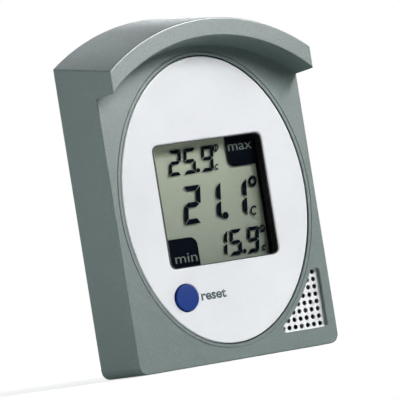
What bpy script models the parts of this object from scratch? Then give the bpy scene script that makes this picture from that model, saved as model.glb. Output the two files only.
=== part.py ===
"""A small wall thermometer that remembers its lowest and highest reading.

A moulded case with a rain hood holds an elliptical fascia, a display stack on a circuit board, a reset
button, and a thermistor behind a perforated grille. A rear cover with a hanging keyhole and a battery bay
closes it. Front faces -Y, +Z is up, and the origin is at the centre of the box, at the base.
"""

import math

import bmesh
import bpy
from mathutils import Matrix, Vector

MM = 0.001  # every size below is in millimetres, and the meshes are in metres
GAP = 0.3  # clearance between neighbouring pieces
OVERRUN = 1.0  # how far a cutter runs past the face that it opens

# Case: cross-sections are upright, the roof is an arch that rises towards the back.
CASE_DEPTH = 33.6
HOOD_REACH = 10.4
HALF_WIDTH_BACK = 38.5
SIDE_DRAFT = 0.0125  # how much narrower each side gets per millimetre towards the front
CORNER_RADIUS = 3.0
ROOF_CENTRE_Z = 46.7
ROOF_RADIUS_FRONT = 62.1
ROOF_SLOPE = 0.127
EDGE_ROUND = 0.6
FRONT_WALL = 2.6
SIDE_WALL = 2.2
ROOF_STEPS = 32
CORNER_STEPS = 5

# Underside of the hood: an arch that gets lower towards the case.
HOOD_UNDER_CENTRE_Z = (45.6, 39.7)  # at the hood's lip, at the case front
HOOD_UNDER_RADIUS = (57.5, 61.6)
HOOD_SHELL = 1.9

HOOD_Y = -CASE_DEPTH / 2
FRONT_Y = HOOD_Y + HOOD_REACH
BACK_Y = CASE_DEPTH / 2

# Fascia
PANEL_Z = 51.6
PANEL_A = 34.5
PANEL_B = 46.2
PANEL_THICK = 1.5
PANEL_EDGE_STEPS = ((0.55, 0.0), (0.2, 0.1), (0.0, 0.4))  # how far in from the edge, and how deep
PANEL_GAP = 0.45
PANEL_LEDGE = 1.6
GROOVE_FROM_PANEL = 1.5
GROOVE_HALF_WIDTH = 0.18
GROOVE_DEPTH = 0.22
ELLIPSE_STEPS = 96

# Display stack, as depths behind the case front
WINDOW_LEFT = -20.8
WINDOW_RIGHT = 20.9
WINDOW_BOTTOM = 31.4
WINDOW_TOP = 71.3
WINDOW_RADIUS = 2.2
WINDOW_LIP = 0.8
WINDOW_CHAMFER = 0.3
LENS_MARGIN = 1.0
LENS_DEPTH = (1.1, 1.9)
FRAME_DEPTH = (2.2, 4.4)
CELL_DEPTH = (4.7, 6.9)
FILM_DEPTH = (7.2, 7.5)
CONNECTOR_DEPTH = (7.2, 7.9)
BOARD_DEPTH = (8.2, 9.4)
CELL_HALF_WIDTH = 21.6
CELL_BOTTOM = 29.2
CELL_TOP = 73.5
FRAME_HALF_WIDTH = 23.1
FRAME_BOTTOM = 28.0
FRAME_TOP = 74.7

# Circuit board
BOARD_HALF_WIDTH = 27.5
BOARD_BOTTOM = 15.5
BOARD_TOP = 77.5
POST_X = 25.4
POST_Z = (30.0, 74.0)
POST_RADIUS = 2.1

# Reset button
BUTTON_X = -16.7
BUTTON_Z = 22.0
BUTTON_RADIUS = 4.2
BUTTON_FLANGE = 5.0
BUTTON_PROUD = 0.8

# Sensor opening: right-angled, with a long side that follows the fascia
GRILLE_LEFT = 17.8
GRILLE_RIGHT = 34.9
GRILLE_BOTTOM = 5.8
GRILLE_TOP = 25.0
GRILLE_FROM_PANEL = 3.1
GRILLE_CORNER = 0.9
GRILLE_RECESS = 1.3
GRILLE_POCKET_MARGIN = 1.9
GRILLE_PLATE = 0.5
HOLE_PITCH = 2.4
HOLE_RADIUS = 0.82
HOLE_MARGIN = 0.6  # how far outside the opening a hole's centre may still lie
HOLE_FIRST_X = 33.0
HOLE_FIRST_Z = 7.1

# Rear cover
COVER_THICK = 1.6
REBATE_WALL = 1.2
SEAL_THICK = 0.6
LEDGE_DEPTH = COVER_THICK + SEAL_THICK + 2 * GAP
CASE_SCREWS = ((-30.5, 88.0), (30.5, 88.0), (-12.5, 5.8), (12.5, 5.8))
CASE_BOSS_RADIUS = 3.0
KEYHOLE_Z = 84.5
KEYHOLE_RADIUS = 4.5
KEYHOLE_SLOT_HALF = 2.4
KEYHOLE_SLOT_TOP = 91.0
KEYHOLE_POCKET = 5.2

# Battery bay
BAY_Z = 52.0
BAY_HALF_LENGTH = 24.5
BAY_HALF_HEIGHT = 6.0
BAY_FLOOR_DEPTH = 9.7
BAY_FLOOR = 0.8
BAY_WALL = 1.4
BAY_LEDGE = 2.3
CELL_RADIUS = 5.25
CELL_LENGTH = 44.5
NUB_RADIUS = 1.9
NUB_LENGTH = 1.0
DOOR_THICK = 1.6
DOOR_MARGIN = 2.9
CONTACT_THICK = 0.4
TONGUE_X = 15.0
TONGUE_HALF = 2.6
TONGUE_THICK = 0.9
TONGUE_REACH = 0.7

SCREW_RADIUS = 1.1
SCREW_HEAD_RADIUS = 2.1


# ---------------------------------------------------------------- building blocks


def clear_scene():
    for obj in list(bpy.data.objects):
        bpy.data.objects.remove(obj, do_unlink=True)


def make_material(name, colour, roughness, metallic=0.0, alpha=1.0):
    material = bpy.data.materials.new(name)
    material.use_nodes = True
    shader = material.node_tree.nodes["Principled BSDF"]
    shader.inputs["Base Color"].default_value = (*colour, 1.0)
    shader.inputs["Roughness"].default_value = roughness
    shader.inputs["Metallic"].default_value = metallic
    shader.inputs["Alpha"].default_value = alpha
    return material


def depth(distance):
    """The y of a plane this far behind the case front."""
    return FRONT_Y + distance


def make_object(name, bm, material):
    bmesh.ops.recalc_face_normals(bm, faces=bm.faces)
    bm.transform(Matrix.Scale(MM, 4))
    mesh = bpy.data.meshes.new(name)
    bm.to_mesh(mesh)
    bm.free()
    if material:
        mesh.materials.append(material)
    mesh.shade_smooth()
    mesh.set_sharp_from_angle(angle=math.radians(35))
    obj = bpy.data.objects.new(name, mesh)
    bpy.context.scene.collection.objects.link(obj)
    return obj


def set_pivot(obj, point):
    """Moves the object's origin to a point given in millimetres, leaving its shape where it is."""
    offset = Vector(point) * MM
    obj.data.transform(Matrix.Translation(-offset))
    obj.location = offset


def add_loft(bm, loops, closed=False):
    """Skins loops that have the same number of points. A closed loft joins its last loop to its first."""
    rings = [[bm.verts.new(point) for point in loop] for loop in loops]
    pairs = list(zip(rings, rings[1:]))
    if closed:
        pairs.append((rings[-1], rings[0]))
    else:
        bm.faces.new(rings[0])
        bm.faces.new(rings[-1])
    for first, second in pairs:
        for i in range(len(first)):
            j = (i + 1) % len(first)
            bm.faces.new((first[i], first[j], second[j], second[i]))


def loft(name, loops, material=None, closed=False):
    bm = bmesh.new()
    add_loft(bm, loops, closed)
    return make_object(name, bm, material)


def upright(outline, y):
    """An outline of (x, z) points, stood up at depth y."""
    return [(x, y, z) for x, z in outline]


def plate(name, outline, y_from, y_to, material=None):
    return loft(name, [upright(outline, y_from), upright(outline, y_to)], material)


def box(name, x_range, y_range, z_range, material=None):
    return plate(name, rectangle(*x_range, *z_range), *y_range, material)


def turned(name, profile, centre, material=None, steps=24):
    """Turns (radius, y) points about the line through centre (x, z) that runs along Y."""
    bm = bmesh.new()
    rings = []
    for radius, y in profile:
        if radius == 0:
            rings.append([bm.verts.new((centre[0], y, centre[1]))])
            continue
        loop = upright(circle(centre, radius, steps), y)
        rings.append([bm.verts.new(point) for point in loop])
    for first, second in zip(rings, rings[1:]):
        for i in range(steps):
            j = (i + 1) % steps
            corners = [first[i % len(first)], first[j % len(first)]]
            corners += [second[j % len(second)], second[i % len(second)]]
            bm.faces.new(dict.fromkeys(corners))
    return make_object(name, bm, material)


def wire(name, points, radius, material, resolution=2):
    """A round wire along points in millimetres, with closed ends."""
    data = bpy.data.curves.new(name, "CURVE")
    data.dimensions = "3D"
    data.bevel_depth = radius * MM
    data.bevel_resolution = resolution
    data.use_fill_caps = True
    spline = data.splines.new("POLY")
    spline.points.add(len(points) - 1)
    for target, point in zip(spline.points, points):
        target.co = (*(Vector(point) * MM), 1.0)
    data.materials.append(material)
    obj = bpy.data.objects.new(name, data)
    bpy.context.scene.collection.objects.link(obj)
    return obj


def smooth_route(knots, steps=6):
    """Points along a Catmull-Rom curve through the knots."""
    ends = [2 * Vector(knots[0]) - Vector(knots[1])]
    ends += [Vector(knot) for knot in knots]
    ends.append(2 * Vector(knots[-1]) - Vector(knots[-2]))
    route = []
    for a, b, c, d in zip(ends, ends[1:], ends[2:], ends[3:]):
        for step in range(steps):
            t = step / steps
            linear = (c - a) * t
            square = (2 * a - 5 * b + 4 * c - d) * t**2
            cubic = (3 * b - a - 3 * c + d) * t**3
            route.append((2 * b + linear + square + cubic) / 2)
    route.append(ends[-2])
    return route


def boolean(target, tool, operation):
    tool.hide_render = True
    tool.display_type = "WIRE"
    modifier = target.modifiers.new(tool.name, "BOOLEAN")
    modifier.operation = operation
    modifier.solver = "EXACT"
    modifier.object = tool


def cut(target, *tools):
    for tool in tools:
        boolean(target, tool, "DIFFERENCE")


def fuse(target, *tools):
    for tool in tools:
        boolean(target, tool, "UNION")


# ---------------------------------------------------------------- outlines, as (x, z) points


def arc(centre_x, centre_z, radius, start, end, steps):
    """Points from one angle to another, in degrees from +X towards +Z."""
    points = []
    for step in range(steps + 1):
        angle = math.radians(start + (end - start) * step / steps)
        points.append((centre_x + radius * math.cos(angle), centre_z + radius * math.sin(angle)))
    return points


def circle(centre, radius, steps=24):
    return arc(*centre, radius, 0, 360, steps)[:-1]


def rectangle(left, right, bottom, top):
    return [(left, bottom), (right, bottom), (right, top), (left, top)]


def rounded_rectangle(left, right, bottom, top, radius, steps=CORNER_STEPS):
    return (
        arc(right - radius, bottom + radius, radius, -90, 0, steps)
        + arc(right - radius, top - radius, radius, 0, 90, steps)
        + arc(left + radius, top - radius, radius, 90, 180, steps)
        + arc(left + radius, bottom + radius, radius, 180, 270, steps)
    )


def ellipse(grow=0.0, steps=ELLIPSE_STEPS):
    """The fascia's outline, made larger all round."""
    points = []
    for step in range(steps):
        angle = 2 * math.pi * step / steps
        x = (PANEL_A + grow) * math.cos(angle)
        points.append((x, PANEL_Z + (PANEL_B + grow) * math.sin(angle)))
    return points


def half_width(y):
    return HALF_WIDTH_BACK - SIDE_DRAFT * (BACK_Y - y)


def roof_radius(y):
    return ROOF_RADIUS_FRONT + ROOF_SLOPE * (y - HOOD_Y)


def case_outline(y, inset=0.0):
    """The case's cross-section at depth y, made smaller all round."""
    half = half_width(y) - inset
    radius = roof_radius(y) - inset
    corner = max(CORNER_RADIUS - inset, 0.6)
    start = math.degrees(math.acos(half / radius))
    return (
        arc(-half + corner, inset + corner, corner, 180, 270, CORNER_STEPS)
        + arc(half - corner, inset + corner, corner, 270, 360, CORNER_STEPS)
        + arc(0, ROOF_CENTRE_Z, radius, start, 180 - start, ROOF_STEPS)
    )


def under_arch(y, raise_by, half):
    """Points of the hood's underside from right to left, raised into the hood."""
    share = (y - HOOD_Y) / HOOD_REACH
    centre_z = HOOD_UNDER_CENTRE_Z[0] + share * (HOOD_UNDER_CENTRE_Z[1] - HOOD_UNDER_CENTRE_Z[0])
    radius = HOOD_UNDER_RADIUS[0] + share * (HOOD_UNDER_RADIUS[1] - HOOD_UNDER_RADIUS[0]) + raise_by
    start = math.degrees(math.acos(half / radius))
    return arc(0, centre_z, radius, start, 180 - start, ROOF_STEPS)


def rounded_corner(before, corner, after, radius, steps=4):
    """The arc that replaces a corner between two straight edges."""
    corner = Vector(corner)
    back = (Vector(before) - corner).normalized()
    ahead = (Vector(after) - corner).normalized()
    half_angle = back.angle(ahead) / 2
    centre = corner + (back + ahead).normalized() * radius / math.sin(half_angle)
    first = corner + back * radius / math.tan(half_angle) - centre
    last = corner + ahead * radius / math.tan(half_angle) - centre
    turn = first.angle(last)
    points = []
    for step in range(steps + 1):
        share = step / steps
        swung = first * math.sin((1 - share) * turn) + last * math.sin(share * turn)
        points.append(tuple(centre + swung / math.sin(turn)))
    return points


def grille_outline(grow=0.0, steps=8):
    """The sensor opening, made larger all round. Its long side runs parallel to the fascia's edge."""
    a = PANEL_A + GRILLE_FROM_PANEL - grow
    b = PANEL_B + GRILLE_FROM_PANEL - grow
    left = GRILLE_LEFT - grow
    right = GRILLE_RIGHT + grow
    bottom = GRILLE_BOTTOM - grow
    top = GRILLE_TOP + grow
    radius = GRILLE_CORNER + grow / 2
    start = math.asin((PANEL_Z - top) / b)
    end = math.acos(left / a)
    side = []
    for step in range(steps + 1):
        angle = start + (end - start) * step / steps
        side.append((a * math.cos(angle), PANEL_Z - b * math.sin(angle)))
    corners = [(right, bottom), (right, top), side[0], side[-1], (left, bottom)]
    return (
        rounded_corner(corners[4], corners[0], corners[1], radius)
        + rounded_corner(corners[0], corners[1], corners[2], radius)
        + rounded_corner(corners[1], corners[2], side[1], radius)
        + side[1:-1]
        + rounded_corner(side[-2], corners[3], corners[4], radius)
        + rounded_corner(corners[3], corners[4], corners[0], radius)
    )


def inside_grille(x, z, margin):
    """Whether a point lies in the sensor opening, made larger by a margin."""
    a = PANEL_A + GRILLE_FROM_PANEL - margin
    b = PANEL_B + GRILLE_FROM_PANEL - margin
    beyond_panel = (x / a) ** 2 + ((z - PANEL_Z) / b) ** 2 > 1
    across = GRILLE_LEFT - margin < x < GRILLE_RIGHT + margin
    return beyond_panel and across and GRILLE_BOTTOM - margin < z < GRILLE_TOP + margin


# ---------------------------------------------------------------- case


def hood_core():
    """The hollow inside the hood, open to the case behind it."""
    loops = []
    for y in (HOOD_Y + HOOD_SHELL, depth(FRONT_WALL) + 0.4):
        half = half_width(y) - SIDE_WALL
        radius = roof_radius(y) - HOOD_SHELL
        start = math.degrees(math.acos(half / radius))
        roof = arc(0, ROOF_CENTRE_Z, radius, start, 180 - start, ROOF_STEPS)
        floor = under_arch(min(y, FRONT_Y), HOOD_SHELL, half)
        loops.append(upright(roof + floor[::-1], y))
    return loft("cut_hood_core", loops)


def under_hood():
    """The space under the hood, in front of the case."""
    loops = []
    for y in (HOOD_Y, FRONT_Y):
        half = HALF_WIDTH_BACK + OVERRUN
        roof = under_arch(y, 0, half)
        foot = [(-half, -OVERRUN), (half, -OVERRUN)]
        loops.append(upright(roof + foot, y))
    first = [(x, y - OVERRUN, z) for x, y, z in loops[0]]
    return loft("cut_under_hood", [first] + loops)


def case_section_loft(name, y_from, y_to, inset):
    return loft(name, [upright(case_outline(y, inset), y) for y in (y_from, y_to)])


def case_posts(shell):
    """Bosses for the rear cover's screws, each with a blind pilot hole."""
    end = BACK_Y - COVER_THICK - GAP
    for number, (x, z) in enumerate(CASE_SCREWS, 1):
        post = plate(f"post_{number}", circle((x, z), CASE_BOSS_RADIUS), depth(FRONT_WALL - 1), end)
        fuse(shell, post)
        pilot = circle((x, z), SCREW_RADIUS + GAP, 12)
        cut(shell, plate(f"cut_pilot_{number}", pilot, end - 8, end + OVERRUN))


def fascia_groove():
    """A fine V-shaped groove in the case front that follows the fascia's edge."""
    flare = GROOVE_HALF_WIDTH * (1 + OVERRUN / GROOVE_DEPTH)
    corners = ((-flare, -OVERRUN), (flare, -OVERRUN), (0, GROOVE_DEPTH))
    loops = [upright(ellipse(GROOVE_FROM_PANEL + across), depth(deep)) for across, deep in corners]
    return loft("cut_fascia_groove", loops, closed=True)


def build_shell(material):
    loops = [upright(case_outline(y), y) for y in (HOOD_Y, BACK_Y)]
    shell = loft("housing_shell", loops, material)
    cut(shell, under_hood())
    bevel = shell.modifiers.new("edge_round", "BEVEL")
    bevel.width = EDGE_ROUND * MM
    bevel.segments = 3
    bevel.limit_method = "ANGLE"
    bevel.angle_limit = math.radians(30)
    cut(shell, fascia_groove())
    cut(shell, case_section_loft("cut_cavity", depth(FRONT_WALL), BACK_Y + OVERRUN, SIDE_WALL))
    cut(shell, hood_core())
    cut(shell, case_section_loft("cut_rebate", BACK_Y - LEDGE_DEPTH, BACK_Y + OVERRUN, REBATE_WALL))
    seat_end = depth(PANEL_THICK + GAP)
    cut(shell, plate("cut_panel_seat", ellipse(PANEL_GAP), FRONT_Y - OVERRUN, seat_end))
    cut(shell, plate("cut_panel_opening", ellipse(-PANEL_LEDGE), FRONT_Y, depth(FRONT_WALL + 1)))
    cut(shell, plate("cut_grille", grille_outline(), FRONT_Y - OVERRUN, depth(FRONT_WALL + 1)))
    pocket = grille_outline(GRILLE_POCKET_MARGIN)
    cut(shell, plate("cut_grille_pocket", pocket, depth(GRILLE_RECESS), depth(FRONT_WALL + 1)))
    case_posts(shell)


# ---------------------------------------------------------------- fascia and display


def window_outline(grow=0.0):
    return rounded_rectangle(
        WINDOW_LEFT - grow,
        WINDOW_RIGHT + grow,
        WINDOW_BOTTOM - grow,
        WINDOW_TOP + grow,
        WINDOW_RADIUS + grow / 2,
    )


def window_chamfer():
    """A narrow chamfer round the front edge of the window."""
    wide = window_outline(WINDOW_CHAMFER + OVERRUN)
    loops = [upright(wide, FRONT_Y - OVERRUN), upright(window_outline(), depth(WINDOW_CHAMFER))]
    return loft("cut_window_chamfer", loops)


def build_panel(material):
    back = depth(PANEL_THICK)
    loops = [upright(ellipse(-inward), depth(deep)) for inward, deep in PANEL_EDGE_STEPS]
    loops.append(upright(ellipse(), back))
    panel = loft("front_panel", loops, material)
    cut(panel, plate("cut_window", window_outline(), FRONT_Y - OVERRUN, back + OVERRUN))
    cut(panel, window_chamfer())
    rebate = window_outline(LENS_MARGIN + GAP)
    cut(panel, plate("cut_lens_rebate", rebate, depth(WINDOW_LIP), back + OVERRUN))
    hole = [
        (0, FRONT_Y - 0.1),
        (BUTTON_RADIUS + GAP + 0.3, FRONT_Y - 0.1),
        (BUTTON_RADIUS + GAP, depth(0.2)),
        (BUTTON_RADIUS + GAP, back + OVERRUN),
        (0, back + OVERRUN),
    ]
    cut(panel, turned("cut_button_hole", hole, (BUTTON_X, BUTTON_Z), steps=32))
    top = depth(BOARD_DEPTH[0] - GAP)
    for number, (x, z) in enumerate(board_screw_places(), 1):
        fuse(panel, plate(f"board_post_{number}", circle((x, z), POST_RADIUS, 16), back - 0.5, top))
        pilot = circle((x, z), SCREW_RADIUS + GAP - 0.1, 12)
        cut(panel, plate(f"cut_board_pilot_{number}", pilot, top - 4.5, top + OVERRUN))


def build_display(materials):
    plate("display_lens", window_outline(LENS_MARGIN), *map(depth, LENS_DEPTH), materials["lens"])
    outer = rounded_rectangle(-FRAME_HALF_WIDTH, FRAME_HALF_WIDTH, FRAME_BOTTOM, FRAME_TOP, 1.5)
    frame = plate("display_frame", outer, *map(depth, FRAME_DEPTH), materials["black"])
    ends = (depth(FRAME_DEPTH[0] - OVERRUN), depth(FRAME_DEPTH[1] + OVERRUN))
    opening = plate("cut_frame_opening", window_outline(0.2), *ends)
    cut(frame, opening)
    across = (-CELL_HALF_WIDTH, CELL_HALF_WIDTH)
    cell_height = (CELL_BOTTOM, CELL_TOP)
    box("lcd_glass", across, tuple(map(depth, CELL_DEPTH)), cell_height, materials["display"])
    strip_height = 2.0
    strips = {"zebra_strip_lower": CELL_BOTTOM + GAP, "zebra_strip_upper": CELL_TOP - GAP - strip_height}
    for name, z in strips.items():
        strip_depth = tuple(map(depth, CONNECTOR_DEPTH))
        box(name, (-19, 19), strip_depth, (z, z + strip_height), materials["strip"])
    film_height = (CELL_BOTTOM + 2 * GAP + strip_height, CELL_TOP - 2 * GAP - strip_height)
    box("lcd_reflector", across, tuple(map(depth, FILM_DEPTH)), film_height, materials["film"])
    holder_depth = (depth(CELL_DEPTH[0]), depth(BOARD_DEPTH[0] - GAP))
    holder = plate("lcd_holder", outer, *holder_depth, materials["holder"])
    inner = rectangle(
        -CELL_HALF_WIDTH - GAP, CELL_HALF_WIDTH + GAP, CELL_BOTTOM - GAP, CELL_TOP + GAP
    )
    cut(holder, plate("cut_holder", inner, holder_depth[0] - OVERRUN, holder_depth[1] + OVERRUN))


# ---------------------------------------------------------------- circuit board


def board_screw_places():
    return [(x, z) for x in (-POST_X, POST_X) for z in POST_Z]


def build_board(materials):
    outline = rounded_rectangle(-BOARD_HALF_WIDTH, BOARD_HALF_WIDTH, BOARD_BOTTOM, BOARD_TOP, 1.0)
    board = plate("circuit_board", outline, *map(depth, BOARD_DEPTH), materials["board"])
    for number, place in enumerate(board_screw_places(), 1):
        hole = circle(place, SCREW_RADIUS + GAP, 12)
        ends = (depth(BOARD_DEPTH[0] - OVERRUN), depth(BOARD_DEPTH[1] + OVERRUN))
        cut(board, plate(f"cut_board_hole_{number}", hole, *ends))
    surface = depth(BOARD_DEPTH[1] + GAP)
    chip = [(0, surface), (4.5, surface), (4.2, surface + 0.7), (2.8, surface + 1.2), (0, surface + 1.4)]
    turned("controller_chip", chip, (0, 68), materials["black"])
    lying_cylinder("clock_crystal", (9, 15), surface + 1.0, 25, 1.0, materials["metal"])
    for name, x in (("capacitor_1", -8), ("capacitor_2", -4), ("resistor_1", 0)):
        box(name, (x, x + 2), (surface, surface + 0.9), (24.4, 25.6), materials["ceramic"])


def lying_cylinder(name, x_range, y, z, radius, material, steps=16):
    loops = [[(x, y + u, z + v) for u, v in circle((0, 0), radius, steps)] for x in x_range]
    return loft(name, loops, material)


def cross_recess(name, x, z, y, head_radius):
    """A cross-shaped cutter for a screw head that faces +Y."""
    arm = head_radius * 0.62
    half = 0.25
    outline = []
    for turn in range(4):
        angle = math.pi / 2 * turn
        for u, v in ((arm, -half), (arm, half), (half, half)):
            across = u * math.cos(angle) - v * math.sin(angle)
            up = u * math.sin(angle) + v * math.cos(angle)
            outline.append((x + across, z + up))
    return plate(name, outline, y - 0.6, y + OVERRUN)


def build_screw(name, place, profile, material):
    screw = turned(name, profile, place, material, steps=20)
    head_y = profile[-1][1]
    cut(screw, cross_recess(f"cut_{name}", *place, head_y, SCREW_HEAD_RADIUS))


def build_board_screws(material):
    seat = depth(BOARD_DEPTH[1] + GAP)
    shaft = SCREW_RADIUS - 0.1
    head = SCREW_HEAD_RADIUS - 0.1
    profile = [
        (0, seat - 5.2),
        (shaft * 0.5, seat - 5.2),
        (shaft, seat - 4.4),
        (shaft, seat),
        (head, seat),
        (head, seat + 0.6),
        (head * 0.75, seat + 1.1),
        (0, seat + 1.1),
    ]
    for number, place in enumerate(board_screw_places(), 1):
        build_screw(f"board_screw_{number}", place, profile, material)


def build_case_screws(material):
    face = BACK_Y - 0.2
    neck = face - 1.1
    tip = BACK_Y - COVER_THICK - 7
    profile = [
        (0, tip),
        (SCREW_RADIUS * 0.4, tip),
        (SCREW_RADIUS, tip + 1),
        (SCREW_RADIUS, neck),
        (SCREW_HEAD_RADIUS, face),
        (0, face),
    ]
    for number, place in enumerate(CASE_SCREWS, 1):
        build_screw(f"case_screw_{number}", place, profile, material)


# ---------------------------------------------------------------- reset button and sensor


def build_button(materials):
    top = FRONT_Y - BUTTON_PROUD
    flange = depth(PANEL_THICK + GAP)
    profile = [
        (0, top),
        (BUTTON_RADIUS * 0.5, top + 0.06),
        (BUTTON_RADIUS * 0.85, top + 0.22),
        (BUTTON_RADIUS * 0.97, top + 0.42),
        (BUTTON_RADIUS, top + 0.7),
        (BUTTON_RADIUS, flange),
        (BUTTON_FLANGE, flange),
        (BUTTON_FLANGE, flange + 0.8),
        (1.8, flange + 0.8),
        (1.8, flange + 2.4),
        (0, flange + 2.4),
    ]
    place = (BUTTON_X, BUTTON_Z)
    button = turned("reset_button", profile, place, materials["button"], steps=40)
    set_pivot(button, (BUTTON_X, flange, BUTTON_Z))
    start = flange + 2.4 + GAP
    foot = depth(BOARD_DEPTH[0] - GAP)
    dome = [
        (0, start),
        (2.0, start),
        (3.6, foot - 0.7),
        (4.2, foot - 0.7),
        (4.2, foot),
        (2.9, foot),
        (1.5, start + 1.0),
        (0, start + 1.0),
    ]
    turned("button_dome", dome, place, materials["rubber"])


def build_grille(material):
    grow = GRILLE_POCKET_MARGIN - GAP
    front = depth(GRILLE_RECESS + GAP)
    grille = plate("sensor_grille", grille_outline(grow), front, front + GRILLE_PLATE, material)
    bm = bmesh.new()
    for column in range(7):
        for row in range(9):
            x = HOLE_FIRST_X - column * HOLE_PITCH
            z = HOLE_FIRST_Z + row * HOLE_PITCH
            if not inside_grille(x, z, HOLE_MARGIN):
                continue
            hole = circle((x, z), HOLE_RADIUS, 12)
            add_loft(bm, [upright(hole, front - 1), upright(hole, front + 2)])
    cut(grille, make_object("cut_holes", bm, None))


def build_thermistor(materials):
    x, y, z = 29.0, depth(5.0), 12.6
    profile = [(0, y - 1.6), (0.8, y - 1.3), (1.2, y - 0.5), (1.2, y + 0.5), (0.8, y + 1.3), (0, y + 1.5)]
    turned("thermistor_bead", profile, (x, z), materials["black"], steps=16)
    board = depth(BOARD_DEPTH[0] - GAP)
    behind = y + 1.5 + GAP
    for number, side in ((1, -0.5), (2, 0.5)):
        # The two leads run side by side, so each is shifted square to the way they run.
        knots = [
            (x + 0.8 * side, behind, z + 0.6 * side),
            (x - 0.3 + 0.9 * side, behind + 0.4, z + 0.4 + 0.7 * side),
            (26.2 + 1.2 * side, board - 0.6, 16.4 + 0.9 * side),
            (25.6 + 1.2 * side, board, 17.2 + 0.9 * side),
        ]
        wire(f"thermistor_lead_{number}", smooth_route(knots), 0.22, materials["metal"])


# ---------------------------------------------------------------- rear cover and battery


def bay_box(name, grow, y_from, y_to, material=None):
    """A box round the battery bay, larger than it by a margin in x and z."""
    across = (-BAY_HALF_LENGTH - grow, BAY_HALF_LENGTH + grow)
    up = (BAY_Z - BAY_HALF_HEIGHT - grow, BAY_Z + BAY_HALF_HEIGHT + grow)
    return box(name, across, (y_from, y_to), up, material)


def door_outline(grow=0.0):
    reach = DOOR_MARGIN + grow
    return rounded_rectangle(
        -BAY_HALF_LENGTH - reach,
        BAY_HALF_LENGTH + reach,
        BAY_Z - BAY_HALF_HEIGHT - reach,
        BAY_Z + BAY_HALF_HEIGHT + reach,
        1.2 + grow,
    )


def keyhole_cutters():
    slot = arc(0, KEYHOLE_SLOT_TOP, KEYHOLE_SLOT_HALF, 0, 180, 8)
    foot = [(-KEYHOLE_SLOT_HALF, KEYHOLE_Z), (KEYHOLE_SLOT_HALF, KEYHOLE_Z)]
    floor = BACK_Y - KEYHOLE_POCKET - COVER_THICK
    end = BACK_Y + OVERRUN
    half = KEYHOLE_RADIUS + 0.8
    pocket = ((-half, half), (floor, BACK_Y - COVER_THICK + 0.1), (KEYHOLE_Z - half, KEYHOLE_SLOT_TOP + half))
    return (
        box("cut_keyhole_pocket", *pocket),
        plate("cut_keyhole", circle((0, KEYHOLE_Z), KEYHOLE_RADIUS, 32), floor, end),
        plate("cut_keyhole_slot", slot + foot, floor + 0.5, end),
    )


def build_cover(material):
    inside = BACK_Y - COVER_THICK
    inset = REBATE_WALL + GAP
    loops = [upright(case_outline(y, inset), y) for y in (inside, BACK_Y - 0.25)]
    loops.append(upright(case_outline(BACK_Y, inset + 0.25), BACK_Y))
    cover = loft("back_cover", loops, material)
    half = KEYHOLE_RADIUS + 2.0
    pocket_back = (inside - KEYHOLE_POCKET - 1.2, inside + 0.4)
    pocket = box("pocket", (-half, half), pocket_back, (KEYHOLE_Z - half, KEYHOLE_SLOT_TOP + half))
    rim_grow = DOOR_MARGIN + BAY_LEDGE - 0.8
    recess_floor = BACK_Y - DOOR_THICK - GAP
    ledge = bay_box("bay_ledge", rim_grow, recess_floor - 2.3, inside + 0.5)
    tub = bay_box("bay_tub", BAY_WALL, depth(BAY_FLOOR_DEPTH), recess_floor - 1)
    fuse(cover, pocket, ledge, tub)
    cut(cover, *keyhole_cutters())
    cut(cover, bay_box("cut_bay", 0, depth(BAY_FLOOR_DEPTH + BAY_FLOOR), BACK_Y + OVERRUN))
    cut(cover, plate("cut_door_recess", door_outline(GAP), recess_floor, BACK_Y + OVERRUN))
    recess_bottom = BAY_Z - BAY_HALF_HEIGHT - DOOR_MARGIN - GAP
    for number, x in enumerate((-TONGUE_X, TONGUE_X), 1):
        across = (x - TONGUE_HALF - GAP, x + TONGUE_HALF + GAP)
        deep = (recess_floor - TONGUE_THICK - GAP, inside)
        up = (recess_bottom - TONGUE_REACH - GAP, BAY_Z - BAY_HALF_HEIGHT + 0.2)
        cut(cover, box(f"cut_tongue_{number}", across, deep, up))
    for number, side in enumerate((-1, 1), 1):
        across = sorted((side * (BAY_HALF_LENGTH - 0.5), side * (BAY_HALF_LENGTH + BAY_WALL + 3.8)))
        deep = (recess_floor - 1.9, recess_floor + 0.2)
        cut(cover, box(f"cut_contact_{number}", across, deep, (BAY_Z - 2.4, BAY_Z + 2.4)))
        outer = sorted((side * (BAY_HALF_LENGTH + BAY_WALL), side * (BAY_HALF_LENGTH + BAY_WALL + 2.0)))
        cut(cover, box(f"cut_tail_{number}", outer, (recess_floor - 4, recess_floor), (BAY_Z - 2.4, BAY_Z + 2.4)))
    for number, place in enumerate(CASE_SCREWS, 1):
        sink = [
            (0, inside - OVERRUN),
            (SCREW_RADIUS + GAP, inside - OVERRUN),
            (SCREW_RADIUS + GAP, BACK_Y - 1.4),
            (SCREW_HEAD_RADIUS + GAP + 0.1, BACK_Y - 0.2),
            (SCREW_HEAD_RADIUS + GAP + 0.1, BACK_Y + OVERRUN),
            (0, BACK_Y + OVERRUN),
        ]
        cut(cover, turned(f"cut_sink_{number}", sink, place, steps=20))


def build_seal(material):
    back = BACK_Y - COVER_THICK - GAP
    loops = []
    for y, inset in ((back - SEAL_THICK, 1.45), (back, 1.45), (back, 2.05), (back - SEAL_THICK, 2.05)):
        loops.append(upright(case_outline(y, inset), y))
    loft("cover_seal", loops, material, closed=True)


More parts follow.
